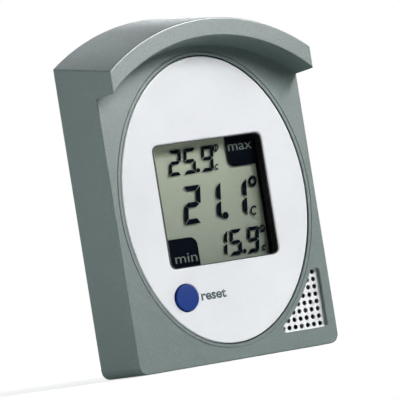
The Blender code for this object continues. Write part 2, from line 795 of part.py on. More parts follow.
def build_door(material):
    face = BACK_Y - DOOR_THICK
    loops = [upright(door_outline(), y) for y in (face, BACK_Y - 0.25)]
    loops.append(upright(door_outline(-0.25), BACK_Y))
    door = loft("battery_door", loops, material)
    bottom = BAY_Z - BAY_HALF_HEIGHT - DOOR_MARGIN
    for number, x in enumerate((-TONGUE_X, TONGUE_X), 1):
        across = (x - TONGUE_HALF, x + TONGUE_HALF)
        low = face - GAP - TONGUE_THICK
        tongue = box(
            f"tongue_{number}", across, (low, face - GAP), (bottom - GAP - TONGUE_REACH, bottom + 1.2)
        )
        leg = box(f"tongue_leg_{number}", across, (low + 0.3, face + 0.3), (bottom + 0.1, bottom + 1.2))
        fuse(door, tongue, leg)
    for number in range(3):
        z = BAY_Z + BAY_HALF_HEIGHT - 1.2 + number * 1.2
        groove = ((-5, 5), (BACK_Y - 0.35, BACK_Y + OVERRUN), (z, z + 0.6))
        cut(door, box(f"cut_grip_{number + 1}", *groove))
    notch = arc(0, BAY_Z + BAY_HALF_HEIGHT + DOOR_MARGIN + 1.4, 3.2, 180, 360, 10)
    cut(door, plate("cut_finger_notch", notch, face - OVERRUN, BACK_Y + OVERRUN))
    set_pivot(door, (0, BACK_Y, bottom - GAP / 2))


def build_battery(materials):
    axis_y = depth(BAY_FLOOR_DEPTH + BAY_FLOOR + GAP) + CELL_RADIUS
    tip = BAY_HALF_LENGTH - 2 * GAP - CONTACT_THICK
    shoulder = tip - NUB_LENGTH
    tail = tip - CELL_LENGTH
    profile = [
        (0, tail),
        (CELL_RADIUS - 0.6, tail),
        (CELL_RADIUS, tail + 0.5),
        (CELL_RADIUS, shoulder - 0.5),
        (CELL_RADIUS - 0.6, shoulder),
        (NUB_RADIUS, shoulder),
        (NUB_RADIUS, tip - 0.2),
        (NUB_RADIUS - 0.2, tip),
        (0, tip),
    ]
    cell = turned("battery_cell", profile, (0, 0), materials["battery"], steps=28)
    # The profile was turned about Y, so it is swung round to lie along X in the bay.
    cell.data.transform(Matrix.Rotation(-math.pi / 2, 4, "Z"))
    cell.data.transform(Matrix.Translation(Vector((0, axis_y, BAY_Z)) * MM))
    coil = []
    turns, per_turn = 3, 12
    start = tail - GAP - 0.3
    end = -BAY_HALF_LENGTH + 2 * GAP + CONTACT_THICK + 0.3
    for step in range(turns * per_turn + 1):
        share = step / (turns * per_turn)
        angle = 2 * math.pi * turns * share
        radius = 2.0 + 1.8 * share
        x = start + (end - start) * share
        coil.append((x, axis_y + radius * math.cos(angle), BAY_Z + radius * math.sin(angle)))
    wire("battery_spring", coil, 0.25, materials["metal"])


def contact_strip(name, side, material):
    """A bent strip: a plate inside the bay, a bridge over its end wall, and a solder tail outside."""
    inner = BAY_HALF_LENGTH - GAP
    bridge = BACK_Y - DOOR_THICK - GAP - 1.2
    outer = BAY_HALF_LENGTH + BAY_WALL + GAP
    thick = CONTACT_THICK
    floor = depth(BAY_FLOOR_DEPTH + BAY_FLOOR + GAP)
    tail_end = bridge - 5.0
    outline = [
        (inner - thick, floor),
        (inner, floor),
        (inner, bridge - thick),
        (outer, bridge - thick),
        (outer, tail_end),
        (outer + thick, tail_end),
        (outer + thick, bridge),
        (inner - thick, bridge),
    ]
    loops = [[(side * x, y, z) for x, y in outline] for z in (BAY_Z - 2.0, BAY_Z + 2.0)]
    return loft(name, loops, material)


def build_contacts(materials):
    outer = BAY_HALF_LENGTH + BAY_WALL + GAP + CONTACT_THICK / 2
    tail_end = BACK_Y - DOOR_THICK - GAP - 6.2
    leads = (
        ("positive_contact", "battery_lead_plus", 1, materials["red"]),
        ("negative_contact", "battery_lead_minus", -1, materials["rubber"]),
    )
    for strip, lead, side, insulation in leads:
        contact_strip(strip, side, materials["metal"])
        knots = [
            (side * outer, tail_end - GAP, BAY_Z),
            (side * (outer + 1.2), tail_end - 2.2, BAY_Z + 2.0),
            (side * (outer + 0.8), depth(BOARD_DEPTH[1] + 2.0), BAY_Z + 8.0),
            (side * 25.2, depth(BOARD_DEPTH[1] + 0.9), BAY_Z + 11.0),
            (side * 24.8, depth(BOARD_DEPTH[1] + GAP), BAY_Z + 12.0),
        ]
        wire(lead, smooth_route(knots, 5), 0.5, insulation)


# ---------------------------------------------------------------- whole object


def build_materials():
    return {
        "case": make_material("case_plastic", (0.26, 0.30, 0.29), 0.45),
        "panel": make_material("panel_plastic", (0.78, 0.80, 0.82), 0.35),
        "cover": make_material("cover_plastic", (0.22, 0.26, 0.25), 0.5),
        "lens": make_material("lens_acrylic", (0.9, 0.95, 0.95), 0.05, alpha=0.25),
        "black": make_material("black_plastic", (0.02, 0.02, 0.025), 0.4),
        "display": make_material("display_glass", (0.36, 0.42, 0.30), 0.15),
        "film": make_material("reflector_film", (0.7, 0.7, 0.65), 0.3, 0.6),
        "holder": make_material("holder_plastic", (0.8, 0.8, 0.78), 0.5),
        "strip": make_material("zebra_rubber", (0.25, 0.25, 0.27), 0.7),
        "board": make_material("board_laminate", (0.02, 0.16, 0.07), 0.4),
        "metal": make_material("plated_steel", (0.72, 0.72, 0.7), 0.25, 1.0),
        "ceramic": make_material("chip_ceramic", (0.45, 0.33, 0.22), 0.5),
        "button": make_material("button_plastic", (0.02, 0.07, 0.42), 0.35),
        "rubber": make_material("black_rubber", (0.03, 0.03, 0.03), 0.8),
        "red": make_material("red_insulation", (0.5, 0.02, 0.02), 0.5),
        "grille": make_material("grille_metal", (0.8, 0.8, 0.8), 0.3, 1.0),
        "battery": make_material("battery_sleeve", (0.12, 0.13, 0.14), 0.35),
    }


def build_thermometer():
    clear_scene()
    materials = build_materials()
    build_shell(materials["case"])
    build_panel(materials["panel"])
    build_display(materials)
    build_board(materials)
    build_board_screws(materials["metal"])
    build_button(materials)
    build_grille(materials["grille"])
    build_thermistor(materials)
    build_cover(materials["cover"])
    build_seal(materials["rubber"])
    build_door(materials["cover"])
    build_battery(materials)
    build_contacts(materials)
    build_case_screws(materials["metal"])


build_thermometer()
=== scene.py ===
"""Looks, lights and camera for the maximum minimum thermometer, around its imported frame."""

import math

import bmesh
import bpy
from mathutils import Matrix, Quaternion, Vector


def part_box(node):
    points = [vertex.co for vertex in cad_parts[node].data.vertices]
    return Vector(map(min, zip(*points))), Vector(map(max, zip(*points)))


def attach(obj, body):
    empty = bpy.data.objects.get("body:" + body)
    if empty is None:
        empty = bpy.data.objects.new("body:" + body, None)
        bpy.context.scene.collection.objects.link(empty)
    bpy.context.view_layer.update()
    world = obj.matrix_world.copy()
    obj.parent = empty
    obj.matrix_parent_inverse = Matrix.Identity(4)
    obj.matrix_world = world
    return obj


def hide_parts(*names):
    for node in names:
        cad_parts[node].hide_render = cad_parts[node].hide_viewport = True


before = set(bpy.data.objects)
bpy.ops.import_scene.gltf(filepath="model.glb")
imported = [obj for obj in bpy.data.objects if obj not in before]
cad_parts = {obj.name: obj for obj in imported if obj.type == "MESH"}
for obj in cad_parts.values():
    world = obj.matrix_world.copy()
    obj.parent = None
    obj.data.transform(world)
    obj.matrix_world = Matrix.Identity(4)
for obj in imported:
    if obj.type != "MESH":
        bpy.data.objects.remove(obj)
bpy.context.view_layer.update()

MM = 0.001  # sizes in this script are in millimetres; meshes and lights are in metres

# Camera
CAMERA_AZIMUTH = -32.32
CAMERA_ELEVATION = -1.142
CAMERA_ROLL = 9.121
CAMERA_DISTANCE = 1331.0
CAMERA_TARGET = (-4.37, -3.82, 52.18)
CAMERA_LENS = 375.07
CAMERA_SENSOR = 36.0
CAMERA_CLIP = (0.05, 20.0)  # metres

# Lights
LIGHT_AIM = (0, 0, 0.055)  # the middle of the object, in metres
SKY_STRENGTH = 0.02

# Surfaces
SMOOTH_ANGLE = 32.0  # edges that bend by more degrees than this stay sharp
SMOOTH_ANGLE_BUTTON = 40.0
NORMAL_WEIGHT = 60
WELD_DISTANCE = 2e-6  # metres
FLAT_ANGLE = 0.4  # faces that meet at less than this, in degrees, become one
TRACK_SCALE = 180  # how finely the tracks of the circuit board lie; larger is finer
SCREW_COUNT = 4  # in the rear cover, and again on the board

# Push button
FLANGE_SHARE = 0.52  # where the button's flange starts, as a share of its whole depth
FLANGE_PAST_CAP = 0.8  # how much wider the flange's radius is than the cap's
FLANGE_THICK = 0.8
CROWN_RISE = 0.1
EDGE_ROLL = 0.35  # radius of the cap's rolled edge
STEM_RADIUS = 1.8
BUTTON_STEPS = 72  # points round the button
CROWN_STEPS = 9
ROLL_STEPS = 6

# Display: the reflector lies behind the inked layer, so the digits throw a faint shadow on it.
INK_BEHIND_GLASS = 0.12  # behind the front of the CAD piece that the display replaces
INK_THICK = 0.04
REFLECTOR_BEHIND_INK = 0.55
PAINTED_SHADE_BELOW = 30.0  # the reflector's colour is at its darkest up to this height: painted shade towards its lower edge
PAINTED_LIGHT_ABOVE = 72.0  # and at its lightest from here: painted light towards its top
SHADOW_SHEET_FROM = 20.3  # where the black sheet at the display's right side starts: painted shadow, for the shade the window's right wall casts there
SHADOW_SHEET_BEHIND_INK = (0.05, 0.1)  # where that painted-shadow sheet's front and back lie
TOP_TAB = (9.8, 61.3, 2.5)  # left edge, lower edge and corner radius of the tab at the upper right
LOW_TAB = (-6.5, 41.0, 2.8)  # right edge, upper edge and corner radius of the tab at the lower left
SEGMENT_GAP = 0.14  # between two bars of a digit, as a share of a bar's thickness
MIDDLE_TIP = 0.8  # how far the middle bar stops short of the digit's sides, as a share of half a bar
SIDE_TIP = 0.4  # how far the point at a side bar's end lies from the bar's outer edge, in the same way
SIGN_LEAN = 0.15  # sideways lean of the degree sign and the c, for each unit of height
DEGREE_SQUEEZE = 0.86  # width over height of the degree sign
DEGREE_BAR_HALF = 0.16  # half the thickness of the bar across the smaller degree signs
LETTER_C_SQUEEZE = 0.85
LETTER_C_MOUTH = 42  # degrees from the middle of the mouth of the c to each of its ends

# The words on the tabs: the word, its left edge, width, baseline and x-height.
TAB_WORDS = (("max", 10.7, 9.1, 66.4, 2.6), ("min", -15.7, 8.3, 33.15, 2.5))
TAB_WORD_PROUD = 0.03  # how far it stands in front of the tab
TAB_WORD_THICK = 0.025

# The word on the fascia, in the same order
LABEL = ("reset", -11.3, 9.5, 20.5, 2.3)
LABEL_PROUD = 0.02
LABEL_THICK = 0.03
LABEL_WEIGHT = 0.03  # widens the strokes; measured at a font size of 1
X_HEIGHT_OF_FONT = 0.547  # height of a lower-case x in Blender's own font, at size 1

# Window
LENS_MARGIN = 1.0  # how far the lens reaches behind the fascia round the window
LENS_GLOSS = (0.003, 0.007)  # least and greatest share of gloss
LENS_GLOSS_PATCH = 8.0  # size of its uneven patches
# Painted shade: a thin black ring just inside the window stands for the dark shaded lines along its edge.
SHADE_RING_DEPTH = (0.35, 0.7)  # behind the fascia's face
SHADE_RING_EDGES = (0.7, 0.3, 0.3, 0.35)  # how far it shows at the window's left, right, bottom and top
SHADE_RING_CORNERS = (2.2, 2.0)  # radius of its outer and inner corners

# Floor, in metres
FLOOR_RADIUS = 0.6
FLOOR_STEPS = 96
FLOOR_FADE = (0.2, 0.58)  # where the paint starts to fade, and where it is gone
FLOOR_BELOW_FOOT = 0.0002
FLOOR_GLOW = 0.2
FLOOR_GLOW_SEEN = 0.62  # the same for what the camera sees directly

# The bars that are dark in each figure, lettered clockwise from the top one with the middle one last
SEGMENTS = {
    "1": "bc",
    "2": "abged",
    "5": "afgcd",
    "9": "abcdfg",
}

# The three rows of the display, from the top.
# digits: each figure and its left edge; base: their lower edge; size: width, height and bar thickness;
# lean: how far a figure leans to the right for each unit of height; point: its centre and radius;
# degree: centre, radius, radius of the hole, and whether a bar crosses it; c: centre, height, thickness.
ROWS = (
    {
        "digits": (("2", -12.95), ("5", -7.3), ("9", -0.6)),
        "base": 60.98,
        "size": (4.6, 8.2, 1.15),
        "lean": 0.15,
        "point": (-1.8, 61.75, 0.7),
        "degree": (6.05, 68.05, 1.25, 0.8, True),
        "c": (5.4, 61.95, 1.9, 0.42),
    },
    {
        "digits": (("2", -10.1), ("1", -2.35), ("1", 7.7)),
        "base": 44.98,
        "size": (6.4, 12.2, 1.65),
        "lean": 0.141,
        "point": (5.77, 46.15, 1.15),
        "degree": (18.0, 55.8, 1.9, 0.8, False),
        "c": (16.8, 46.4, 3.1, 0.6),
    },
    {
        "digits": (("1", -0.4), ("5", 5.2), ("9", 11.9)),
        "base": 33.1,
        "size": (4.5, 8.2, 1.15),
        "lean": 0.15,
        "point": (10.85, 33.95, 0.7),
        "degree": (18.75, 40.2, 1.25, 0.8, True),
        "c": (18.4, 34.05, 1.9, 0.45),
    },
)


# ---------------------------------------------------------------- meshes


def link_object(name, mesh, material, body):
    """Puts a mesh in the scene with its finish and lets it ride on its body."""
    mesh.materials.clear()
    mesh.materials.append(material)
    obj = bpy.data.objects.new(name, mesh)
    bpy.context.scene.collection.objects.link(obj)
    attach(obj, body)
    return obj


def smooth_shading(obj, angle):
    obj.data.shade_smooth()
    obj.data.set_sharp_from_angle(angle=math.radians(angle))
    modifier = obj.modifiers.new("weighted_normals", "WEIGHTED_NORMAL")
    modifier.keep_sharp = True
    modifier.weight = NORMAL_WEIGHT


def refined(node, name, material, body):
    """A clean copy of a node's mesh: welded, with its flat faces whole again and its curves shaded smooth."""
    bm = bmesh.new()
    bm.from_mesh(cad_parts[node].data)
    bmesh.ops.remove_doubles(bm, verts=bm.verts, dist=WELD_DISTANCE)
    bmesh.ops.dissolve_limit(
        bm, angle_limit=math.radians(FLAT_ANGLE), verts=bm.verts, edges=bm.edges
    )
    mesh = bpy.data.meshes.new(name)
    bm.to_mesh(mesh)
    bm.free()
    for attribute in ("custom_normal", "sharp_edge", "sharp_face"):
        if attribute in mesh.attributes:
            mesh.attributes.remove(mesh.attributes[attribute])
    obj = link_object(name, mesh, material, body)
    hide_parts(node)
    smooth_shading(obj, SMOOTH_ANGLE)


def arc(centre_x, centre_z, radius, start, end, steps=8):
    """Points along a circle, between two angles in degrees."""
    points = []
    for step in range(steps + 1):
        angle = math.radians(start + (end - start) * step / steps)
        points.append((centre_x + radius * math.cos(angle), centre_z + radius * math.sin(angle)))
    return points


def rounded_rectangle(left, right, bottom, top, radius):
    return (
        arc(right - radius, bottom + radius, radius, 270, 360)
        + arc(right - radius, top - radius, radius, 0, 90)
        + arc(left + radius, top - radius, radius, 90, 180)
        + arc(left + radius, bottom + radius, radius, 180, 270)
    )


def add_plate(bm, outline, y_front, y_back):
    """A closed flat plate with an outline of (x, z) points in millimetres, between two depths in metres."""
    front = [bm.verts.new((x * MM, y_front, z * MM)) for x, z in outline]
    back = [bm.verts.new((x * MM, y_back, z * MM)) for x, z in outline]
    bm.faces.new(front)
    bm.faces.new(back[::-1])
    for i in range(len(outline)):
        j = (i + 1) % len(outline)
        bm.faces.new((front[j], front[i], back[i], back[j]))


def add_ring(bm, outer, inner, y_front, y_back):
    """A flat ring between two outlines that have the same number of points."""
    loops = []
    for outline, y in ((outer, y_front), (inner, y_front), (inner, y_back), (outer, y_back)):
        loops.append([bm.verts.new((x * MM, y, z * MM)) for x, z in outline])
    for first, second in zip(loops, loops[1:] + loops[:1]):
        for i in range(len(first)):
            j = (i + 1) % len(first)
            bm.faces.new((first[i], first[j], second[j], second[i]))


def mesh_from(bm, name):
    bmesh.ops.recalc_face_normals(bm, faces=bm.faces)
    mesh = bpy.data.meshes.new(name)
    bm.to_mesh(mesh)
    bm.free()
    return mesh


def text_mesh(name, words, left, width, bottom, x_height, y, thick, weight=0.0):
    """Generic sans lettering, stretched to a given width and x-height, upright at depth y in metres."""
    curve = bpy.data.curves.new(name, "FONT")
    curve.body = words
    curve.size = 1.0
    curve.resolution_u = 6
    curve.offset = weight
    helper = bpy.data.objects.new(name, curve)
    bpy.context.scene.collection.objects.link(helper)
    bpy.context.view_layer.update()
    evaluated = helper.evaluated_get(bpy.context.evaluated_depsgraph_get())
    mesh = bpy.data.meshes.new_from_object(evaluated)
    bpy.data.objects.remove(helper)
    bpy.data.curves.remove(curve)
    across = [v.co.x for v in mesh.vertices]
    scale_x = width * MM / (max(across) - min(across))
    scale_z = x_height * MM / X_HEIGHT_OF_FONT
    for v in mesh.vertices:
        x = left * MM + (v.co.x - min(across)) * scale_x
        v.co = (x, y, bottom * MM + v.co.y * scale_z)
    bm = bmesh.new()
    bm.from_mesh(mesh)
    bpy.data.meshes.remove(mesh)
    made = bmesh.ops.extrude_face_region(bm, geom=bm.faces[:])
    moved = [v for v in made["geom"] if isinstance(v, bmesh.types.BMVert)]
    bmesh.ops.translate(bm, vec=(0, thick * MM, 0), verts=moved)
    return mesh_from(bm, name)


# ---------------------------------------------------------------- materials


class Finish:
    """A Principled material whose nodes read the piece's own coordinates."""

    def __init__(self, name, colour, roughness, metallic=0.0, specular=0.5):
        self.material = bpy.data.materials.new(name)
        self.material.use_nodes = True
        self.tree = self.material.node_tree
        self.shader = self.tree.nodes["Principled BSDF"]
        self.colour = (*colour, 1.0)
        self.shader.inputs["Base Color"].default_value = self.colour
        self.shader.inputs["Roughness"].default_value = roughness
        self.shader.inputs["Metallic"].default_value = metallic
        self.shader.inputs["Specular IOR Level"].default_value = specular
        self.roughness = roughness
        self.coordinates = self.node("ShaderNodeTexCoord").outputs["Object"]

    def node(self, kind, **settings):
        made = self.tree.nodes.new(kind)
        for key, value in settings.items():
            setattr(made, key, value)
        return made

    def link(self, source, target):
        self.tree.links.new(source, target)

    def noise(self, size, detail=2.0, roughness=0.55, stretch=(1, 1, 1)):
        """Noise whose features measure about this many millimetres."""
        mapping = self.node("ShaderNodeMapping")
        mapping.inputs["Scale"].default_value = [s / (size * MM) for s in stretch]
        self.link(self.coordinates, mapping.inputs["Vector"])
        made = self.node("ShaderNodeTexNoise")
        made.inputs["Scale"].default_value = 1.0
        made.inputs["Detail"].default_value = detail
        made.inputs["Roughness"].default_value = roughness
        self.link(mapping.outputs["Vector"], made.inputs["Vector"])
        return made.outputs["Fac"]

    def remap(self, value, low, high, to_low=0.0, to_high=1.0):
        made = self.node("ShaderNodeMapRange")
        for key, number in (("From Min", low), ("From Max", high), ("To Min", to_low), ("To Max", to_high)):
            made.inputs[key].default_value = number
        self.link(value, made.inputs["Value"])
        return made.outputs["Result"]

    def blend(self, factor, first, second):
        """Mixes two colours, each a socket or a plain tuple."""
        made = self.node("ShaderNodeMix", data_type="RGBA")
        self.link(factor, made.inputs["Factor"])
        for key, value in ((6, first), (7, second)):
            if isinstance(value, tuple):
                made.inputs[key].default_value = value
            else:
                self.link(value, made.inputs[key])
        return made.outputs[2]

    def shade(self, amount):
        """The base colour made lighter or darker."""
        return (*(min(1.0, c * amount) for c in self.colour[:3]), 1.0)

    def speckle(self, size, amount, blotch=25.0, blotch_amount=0.03):
        """Fine grain over slow, faint unevenness in the moulding."""
        grain = self.remap(self.noise(size, 2.0, 0.7), 0.32, 0.68)
        fine = self.blend(grain, self.shade(1 - amount), self.shade(1 + amount))
        slow = self.remap(self.noise(blotch, 3.0), 0.35, 0.65)
        made = self.node("ShaderNodeMix", data_type="RGBA", blend_type="MULTIPLY")
        made.inputs["Factor"].default_value = 1.0
        tone = self.blend(slow, (*[1 - blotch_amount] * 3, 1.0), (*[1 + blotch_amount] * 3, 1.0))
        self.link(fine, made.inputs[6])
        self.link(tone, made.inputs[7])
        self.link(made.outputs[2], self.shader.inputs["Base Color"])
        return self

    def rough(self, size, spread):
        value = self.remap(
            self.noise(size, 3.0), 0.3, 0.7, self.roughness - spread, self.roughness + spread
        )
        self.link(value, self.shader.inputs["Roughness"])
        return self

    def bump(self, size, height, strength=0.5, detail=2.0, stretch=(1, 1, 1)):
        """Surface texture of this grain size and height, in millimetres."""
        made = self.node("ShaderNodeBump")
        made.inputs["Strength"].default_value = strength
        made.inputs["Distance"].default_value = height * MM
        self.link(self.noise(size, detail, stretch=stretch), made.inputs["Height"])
        self.link(made.outputs["Normal"], self.shader.inputs["Normal"])
        return self


def moulded(name, colour, roughness, grain=0.3, amount=0.06, height=0.03, specular=0.5):
    """Plastic, rubber or print. Grain and height of the texture are in millimetres; amount is its speckle."""
    finish = Finish(name, colour, roughness, specular=specular)
    return finish.speckle(grain, amount).rough(1.2, 0.05).bump(grain * 1.2, height).material


def brushed_metal(name, colour, roughness, metallic, stretch):
    """Metal with a fine texture drawn out along one axis."""
    finish = Finish(name, colour, roughness, metallic)
    return finish.speckle(0.25, 0.05).rough(0.5, 0.08).bump(0.3, 0.01, 0.4, 2.0, stretch).material


def clear_plastic(name, roughness):
    """Clear material: what lies behind shows, under a slight gloss that is a little uneven."""
    material = bpy.data.materials.new(name)
    material.use_nodes = True
    tree = material.node_tree
    tree.nodes.clear()
    clear = tree.nodes.new("ShaderNodeBsdfTransparent")
    clear.inputs["Color"].default_value = (0.995, 1.0, 0.998, 1.0)
    gloss = tree.nodes.new("ShaderNodeBsdfGlossy")
    gloss.inputs["Roughness"].default_value = roughness
    coordinates = tree.nodes.new("ShaderNodeTexCoord")
    noise = tree.nodes.new("ShaderNodeTexNoise")
    noise.inputs["Scale"].default_value = 1 / (LENS_GLOSS_PATCH * MM)
    share = tree.nodes.new("ShaderNodeMapRange")
    share.inputs["To Min"].default_value = LENS_GLOSS[0]
    share.inputs["To Max"].default_value = LENS_GLOSS[1]
    mix = tree.nodes.new("ShaderNodeMixShader")
    output = tree.nodes.new("ShaderNodeOutputMaterial")
    tree.links.new(coordinates.outputs["Object"], noise.inputs["Vector"])
    tree.links.new(noise.outputs["Fac"], share.inputs["Value"])
    tree.links.new(share.outputs["Result"], mix.inputs["Fac"])
    tree.links.new(clear.outputs[0], mix.inputs[1])
    tree.links.new(gloss.outputs[0], mix.inputs[2])
    tree.links.new(mix.outputs[0], output.inputs["Surface"])
    return material


def display_reflector():
    """The grey-green ground of the display, with painted light: lighter towards its top and darker towards
    its lower edge.
    """
    finish = Finish("display_reflector", (0.36, 0.40, 0.285), 0.45, specular=0.2)
    height = finish.node("ShaderNodeSeparateXYZ")
    finish.link(finish.coordinates, height.inputs[0])
    # painted light and shade: the colour goes from a darker tone low down to a lighter one high up
    painted_light_rise = finish.remap(height.outputs["Z"], PAINTED_SHADE_BELOW * MM, PAINTED_LIGHT_ABOVE * MM)
    grain = finish.remap(finish.noise(0.3, 2.0, 0.7), 0.3, 0.7)
    low = finish.blend(grain, (0.195, 0.23, 0.185, 1), (0.225, 0.26, 0.21, 1))
    high = finish.blend(grain, (0.40, 0.45, 0.34, 1), (0.44, 0.49, 0.365, 1))
    finish.link(finish.blend(painted_light_rise, low, high), finish.shader.inputs["Base Color"])
    return finish.rough(0.6, 0.05).bump(0.25, 0.006).material


def circuit_laminate():
    """Green solder mask with the darker runs between tracks showing through."""
    finish = Finish("circuit_laminate", (0.02, 0.17, 0.07), 0.35)
    mapping = finish.node("ShaderNodeMapping")
    mapping.inputs["Rotation"].default_value = (math.pi / 2, 0, 0)
    mapping.inputs["Scale"].default_value = (TRACK_SCALE,) * 3
    finish.link(finish.coordinates, mapping.inputs["Vector"])
    tracks = finish.node("ShaderNodeTexBrick")
    tracks.inputs["Color1"].default_value = finish.shade(1.0)
    tracks.inputs["Color2"].default_value = finish.shade(1.25)
    tracks.inputs["Mortar"].default_value = finish.shade(0.55)
    tracks.inputs["Scale"].default_value = 1.0
    finish.link(mapping.outputs["Vector"], tracks.inputs["Vector"])
    finish.link(tracks.outputs["Color"], finish.shader.inputs["Base Color"])
    return finish.rough(1.0, 0.06).bump(0.4, 0.02).material


def build_materials():
    return {
        "case": moulded("case_green_grey", (0.124, 0.176, 0.167), 0.44, 0.38, 0.2, 0.04),
        "cover": moulded("cover_green_grey", (0.11, 0.155, 0.147), 0.5, 0.42, 0.16, 0.05),
        "panel": moulded("fascia_white", (0.825, 0.848, 0.882), 0.42, 0.5, 0.015, 0.006, 0.3),
        "black": moulded("black_plastic", (0.026, 0.027, 0.028), 0.5, 0.3, 0.2, 0.02, 0.25),
        "ink": moulded("display_ink", (0.005, 0.007, 0.012), 0.7, 0.2, 0.2, 0.004, 0.0),
        "tab_text": moulded("display_pale_ink", (0.15, 0.19, 0.17), 0.5, 0.3, 0.3, 0.004, 0.1),
        "reflector": display_reflector(),
        "print": moulded("printed_grey_green", (0.085, 0.13, 0.15), 0.5, 0.2, 0.1, 0.004, 0.2),
        "button": moulded("button_blue", (0.008, 0.042, 0.25), 0.6, 0.3, 0.08, 0.012, 0.06),
        "rubber": moulded("black_rubber", (0.03, 0.03, 0.03), 0.75, 0.4, 0.12, 0.03),
        "holder": moulded("holder_white", (0.72, 0.72, 0.69), 0.5, 0.4, 0.03, 0.02),
        "strip": moulded("zebra_rubber", (0.22, 0.22, 0.24), 0.7, 0.3, 0.15, 0.03),
        "ceramic": moulded("chip_ceramic", (0.45, 0.33, 0.22), 0.5, 0.3, 0.1, 0.02),
        "red": moulded("red_insulation", (0.5, 0.02, 0.02), 0.45, 0.3, 0.06, 0.01),
        "battery": moulded("battery_sleeve", (0.10, 0.11, 0.12), 0.3, 0.5, 0.08, 0.008),
        "film": brushed_metal("reflector_film", (0.7, 0.7, 0.65), 0.3, 0.6, (1, 1, 6)),
        "grille": brushed_metal("grille_metal", (0.74, 0.755, 0.765), 0.38, 0.35, (1, 1, 8)),
        "steel": brushed_metal("plated_steel", (0.66, 0.66, 0.64), 0.3, 1.0, (1, 1, 6)),
        "board": circuit_laminate(),
        "lens": clear_plastic("lens_clear", 0.04),
    }


# ---------------------------------------------------------------- case, cover and small parts


def dress_inner_nodes():
    """Gives the pieces inside the case their finishes. Their CAD shapes are right as they are."""
    finishes = {
        "battery_cell": "battery",
        "battery_lead_minus": "rubber",
        "battery_lead_plus": "red",
        "battery_spring": "steel",
        "button_dome": "rubber",
        "capacitor_1": "ceramic",
        "capacitor_2": "ceramic",
        "circuit_board": "board",
        "clock_crystal": "steel",
        "controller_chip": "black",
        "cover_seal": "rubber",
        "lcd_holder": "holder",
        "lcd_reflector": "film",
        "negative_contact": "steel",
        "positive_contact": "steel",
        "resistor_1": "ceramic",
        "thermistor_bead": "black",
        "thermistor_lead_1": "steel",
        "thermistor_lead_2": "steel",
        "zebra_strip_lower": "strip",
        "zebra_strip_upper": "strip",
    }
    for number in range(1, SCREW_COUNT + 1):
        finishes[f"board_screw_{number}"] = "steel"
    for node, finish in finishes.items():
        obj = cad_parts[node]
        for slot in obj.material_slots:
            slot.material = materials[finish]


def build_outside():
    refined("housing_shell", "case_shell", materials["case"], "case")
    refined("front_panel", "fascia", materials["panel"], "case")
    refined("display_lens", "clear_lens", materials["lens"], "case")
    refined("display_frame", "display_mask", materials["black"], "case")
    refined("sensor_grille", "perforated_grille", materials["grille"], "case")
    refined("back_cover", "rear_cover", materials["cover"], "case")
    refined("battery_door", "bay_door", materials["cover"], "door")
    for number in range(1, SCREW_COUNT + 1):
        refined(f"case_screw_{number}", f"cover_screw_{number}", materials["steel"], "case")


def build_button():
    """The push button: a low crown with a rolled edge, over the flange that keeps it in."""
    low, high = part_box("reset_button")
    centre = ((low.x + high.x) / 2, (low.z + high.z) / 2)
    flange_radius = (high.x - low.x) / 2
    cap = flange_radius - FLANGE_PAST_CAP * MM
    crown = CROWN_RISE * MM
    roll = EDGE_ROLL * MM
    profile = [(0.0, low.y)]
    for step in range(1, CROWN_STEPS):
        share = step / CROWN_STEPS
        profile.append((share * (cap - roll), low.y + crown * share**2))
    for step in range(ROLL_STEPS + 1):
        angle = math.pi / 2 * step / ROLL_STEPS
        radius = cap - roll + roll * math.sin(angle)
        profile.append((radius, low.y + crown + roll * (1 - math.cos(angle))))
    flange_y = low.y + (high.y - low.y) * FLANGE_SHARE
    flange_end = flange_y + FLANGE_THICK * MM
    stem = STEM_RADIUS * MM
    profile += [
        (cap, flange_y),
        (flange_radius, flange_y),
        (flange_radius, flange_end),
        (stem, flange_end),
        (stem, high.y),
        (0.0, high.y),
    ]
    bm = bmesh.new()
    rings = []
    for radius, y in profile:
        count = BUTTON_STEPS if radius else 1  # a ring of no radius is a single point
        angles = [2 * math.pi * i / BUTTON_STEPS for i in range(count)]
        ring = []
        for a in angles:
            place = (centre[0] + radius * math.cos(a), y, centre[1] + radius * math.sin(a))
            ring.append(bm.verts.new(place))
        rings.append(ring)
    for first, second in zip(rings, rings[1:]):
        for i in range(BUTTON_STEPS):
            j = (i + 1) % BUTTON_STEPS
            corners = [first[i % len(first)], first[j % len(first)]]
            corners += [second[j % len(second)], second[i % len(second)]]
            bm.faces.new(dict.fromkeys(corners))  # at the centre two corners are one point
    mesh = mesh_from(bm, "push_button")
    obj = link_object("push_button", mesh, materials["button"], "button")
    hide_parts("reset_button")
    smooth_shading(obj, SMOOTH_ANGLE_BUTTON)


# ---------------------------------------------------------------- display


def segment_outlines(width, height, thick, gap):
    """The seven bars of a digit, upright, with its lower left corner at the origin."""
    middle = height / 2
    half = thick / 2
    bars = {
        "a": [
            (gap, height),
            (width - gap, height),
            (width - thick, height - thick),
            (thick, height - thick),
        ],
        "d": [(gap, 0), (thick, thick), (width - thick, thick), (width - gap, 0)],
        "g": [
            (half * MIDDLE_TIP, middle),
            (thick, middle + half),
            (width - thick, middle + half),
            (width - half * MIDDLE_TIP, middle),
            (width - thick, middle - half),
            (thick, middle - half),
        ],
    }
    upper_left = [
        (0, height - gap),
        (thick, height - thick - gap),
        (thick, middle + half + gap),
        (half * SIDE_TIP, middle + gap),
        (0, middle + gap * 1.5),
    ]
    bars["f"] = upper_left
    bars["b"] = [(width - x, z) for x, z in upper_left]
    bars["e"] = [(x, height - z) for x, z in upper_left]
    bars["c"] = [(width - x, height - z) for x, z in upper_left]
    return bars


